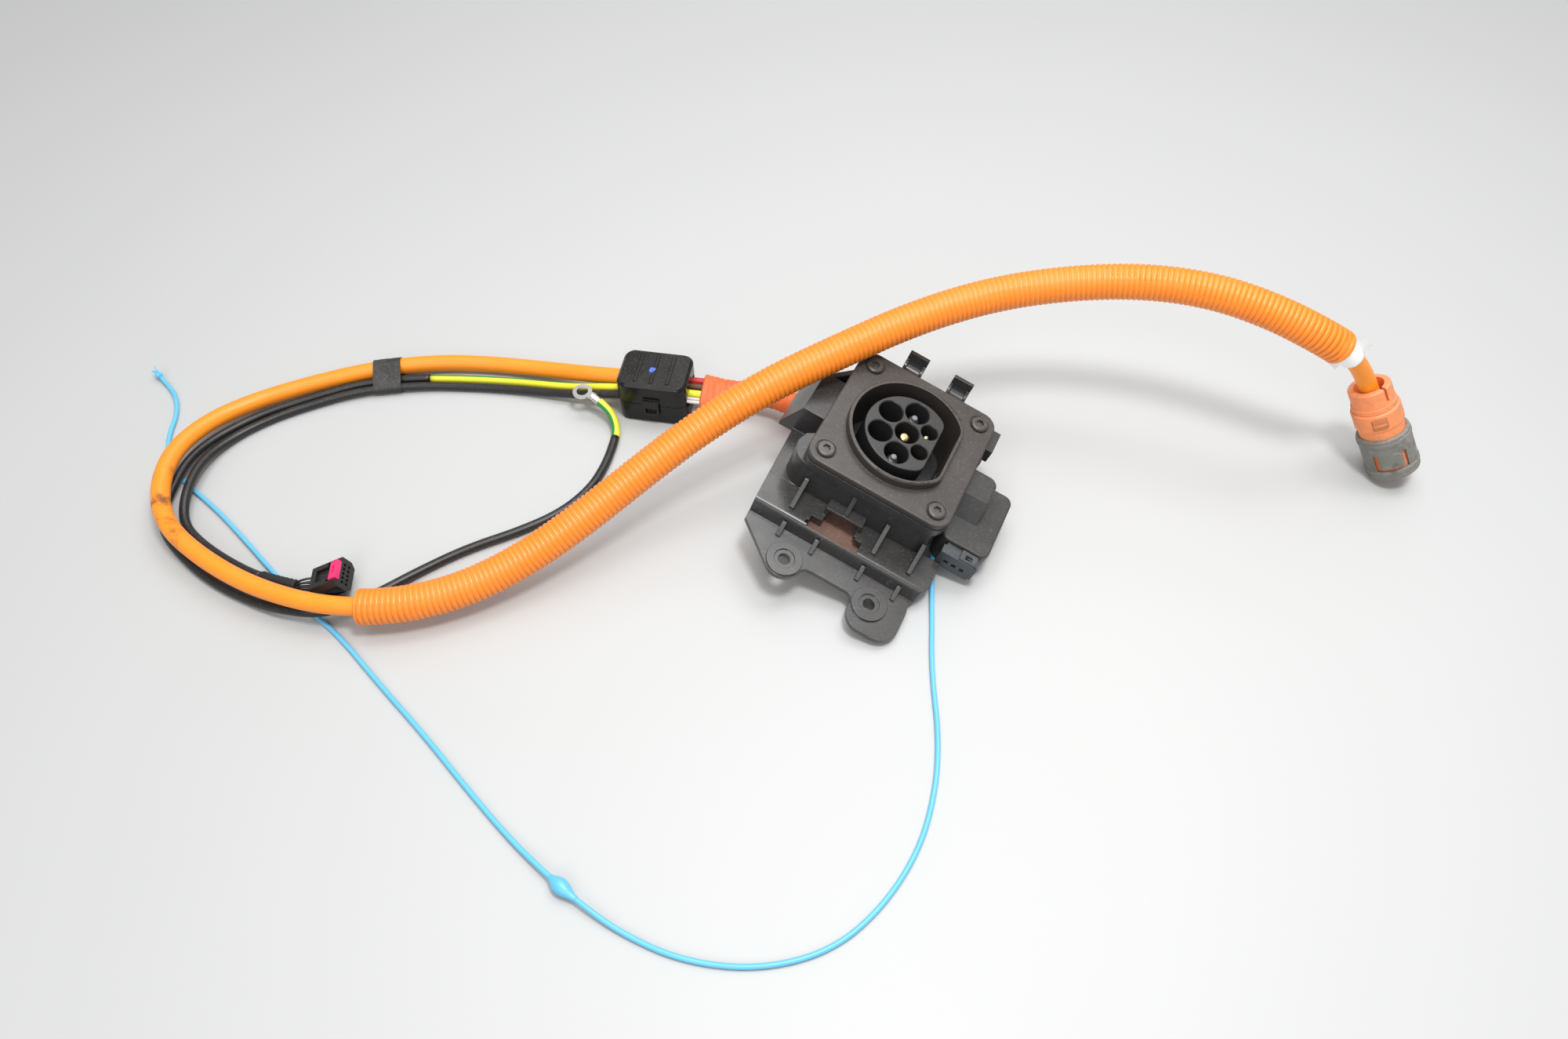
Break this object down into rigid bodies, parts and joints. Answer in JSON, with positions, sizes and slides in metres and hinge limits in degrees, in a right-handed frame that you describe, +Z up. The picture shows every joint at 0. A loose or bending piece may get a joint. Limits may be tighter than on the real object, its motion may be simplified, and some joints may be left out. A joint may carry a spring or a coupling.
{
  "type": "charging inlet wiring harness",
  "caption": "Wiring harness of a vehicle charging inlet: bracketed inlet with lock actuator, high-voltage cable in a conduit to a locking plug, ferrite box, signal, ground and release cords.",
  "frame": {"origin": "centre of the footprint of the inlet, on the surface that the harness lies on", "axes": "+Z up from the surface, +X along the harness toward the high-voltage plug, +Y away from the viewer of the picture"},
  "size_m": [0.7144, 0.3419, 0.1053],
  "materials": {
    "black_plastic": "fine grained moulding",
    "dark_plastic": "satin moulding",
    "grey_plastic": "matt",
    "collar_grey": "satin",
    "orange_plastic": "matt",
    "pink_plastic": "matt",
    "tan_plastic": "matt",
    "seal_rubber": "matt",
    "screw_steel": "dark zinc",
    "pin_steel": "satin",
    "contact_silver": "silver plated",
    "tinned_copper": "tinned",
    "ferrite": "dull sintered ceramic",
    "orange_jacket": "smooth jacket",
    "orange_conduit": "corrugated hose",
    "orange_sleeve": "soft sleeve",
    "black_sleeve": "braided sleeve",
    "black_tape": "wound tape",
    "red_insulation": "smooth",
    "brown_insulation": "smooth",
    "white_insulation": "smooth",
    "ground_insulation": "yellow and green stripes",
    "blue_cord": "smooth coated cord",
    "white_label": "blank film"
  },
  "bodies": {
    "harness": {"mounting_bracket": "black_plastic", "bracket_rim": "black_plastic", "bracket_tub": "black_plastic", "clip_hooks": "black_plastic", "carrier_base": "black_plastic", "inlet_flange": "black_plastic", "flange_seal": "seal_rubber", "flange_screws": "screw_steel", "contact_carrier": "black_plastic", "contact_pe": "contact_silver", "contact_l1": "contact_silver", "contact_n": "contact_silver", "contact_cp": "contact_silver", "contact_pp": "contact_silver", "touch_guards": "grey_plastic", "rear_housing": "dark_plastic", "actuator_case": "black_plastic", "actuator_cover": "black_plastic", "actuator_plug": "grey_plastic", "ferrite_case": "black_plastic", "ferrite_core": "ferrite", "lead_l1": "red_insulation", "lead_n": "brown_insulation", "lead_pe": "ground_insulation", "lead_cp": "white_insulation", "lead_pp": "white_insulation", "lead_sleeve": "orange_sleeve", "hv_cable": "orange_jacket", "conduit": "orange_conduit", "hv_backshell": "orange_plastic", "hv_body": "orange_plastic", "hv_insert": "black_plastic", "hv_contacts": "contact_silver", "hv_clips": "tan_plastic", "label_flag": "white_label", "ground_wire": "ground_insulation", "ground_sleeve": "black_sleeve", "ground_shrink": "ground_insulation", "ring_terminal": "tinned_copper", "signal_cable": "black_sleeve", "signal_boot": "black_sleeve", "signal_wires": "white_insulation", "signal_plug": "black_plastic", "tape_wrap": "black_tape", "release_cord": "blue_cord", "cord_bulb": "blue_cord", "cord_knot": "blue_cord"},
    "lock_pin": {"lock_pin": "pin_steel"},
    "release_lever": {"release_lever": "pin_steel"},
    "hv_collar": {"hv_collar": "collar_grey"},
    "signal_lock": {"signal_lock": "pink_plastic"},
    "ferrite_lid": {"ferrite_lid": "black_plastic", "ferrite_core_upper": "ferrite"}
  },
  "joints": [
    {"name": "lock_pin_slide", "type": "slide", "parent": "harness", "child": "lock_pin", "axis": [-0.8693, 0.4109, 0.2747], "range_m": [0, 0.007]},
    {"name": "release_lever_turn", "type": "hinge", "parent": "harness", "child": "release_lever", "pos_m": [0.04093, -0.0109, 0.00346], "axis": [0.238, -0.1391, 0.9613], "range_deg": [-30, 0]},
    {"name": "collar_slide", "type": "slide", "parent": "harness", "child": "hv_collar", "axis": [-0.4873, 0.3287, 0.809], "range_m": [0, 0.005]},
    {"name": "signal_lock_slide", "type": "slide", "parent": "harness", "child": "signal_lock", "axis": [-0.8954, -0.0783, -0.4384], "range_m": [0, 0.002]},
    {"name": "lid_turn", "type": "hinge", "parent": "harness", "child": "ferrite_lid", "pos_m": [-0.11613, 0.104, 0.01375], "axis": [-0.9877, 0.1564, 0], "range_deg": [0, 100]}
  ],
  "couplings": [
    {"joint": "release_lever_turn", "follows": "lock_pin_slide", "rad_per_m": -74.725}
  ]
}
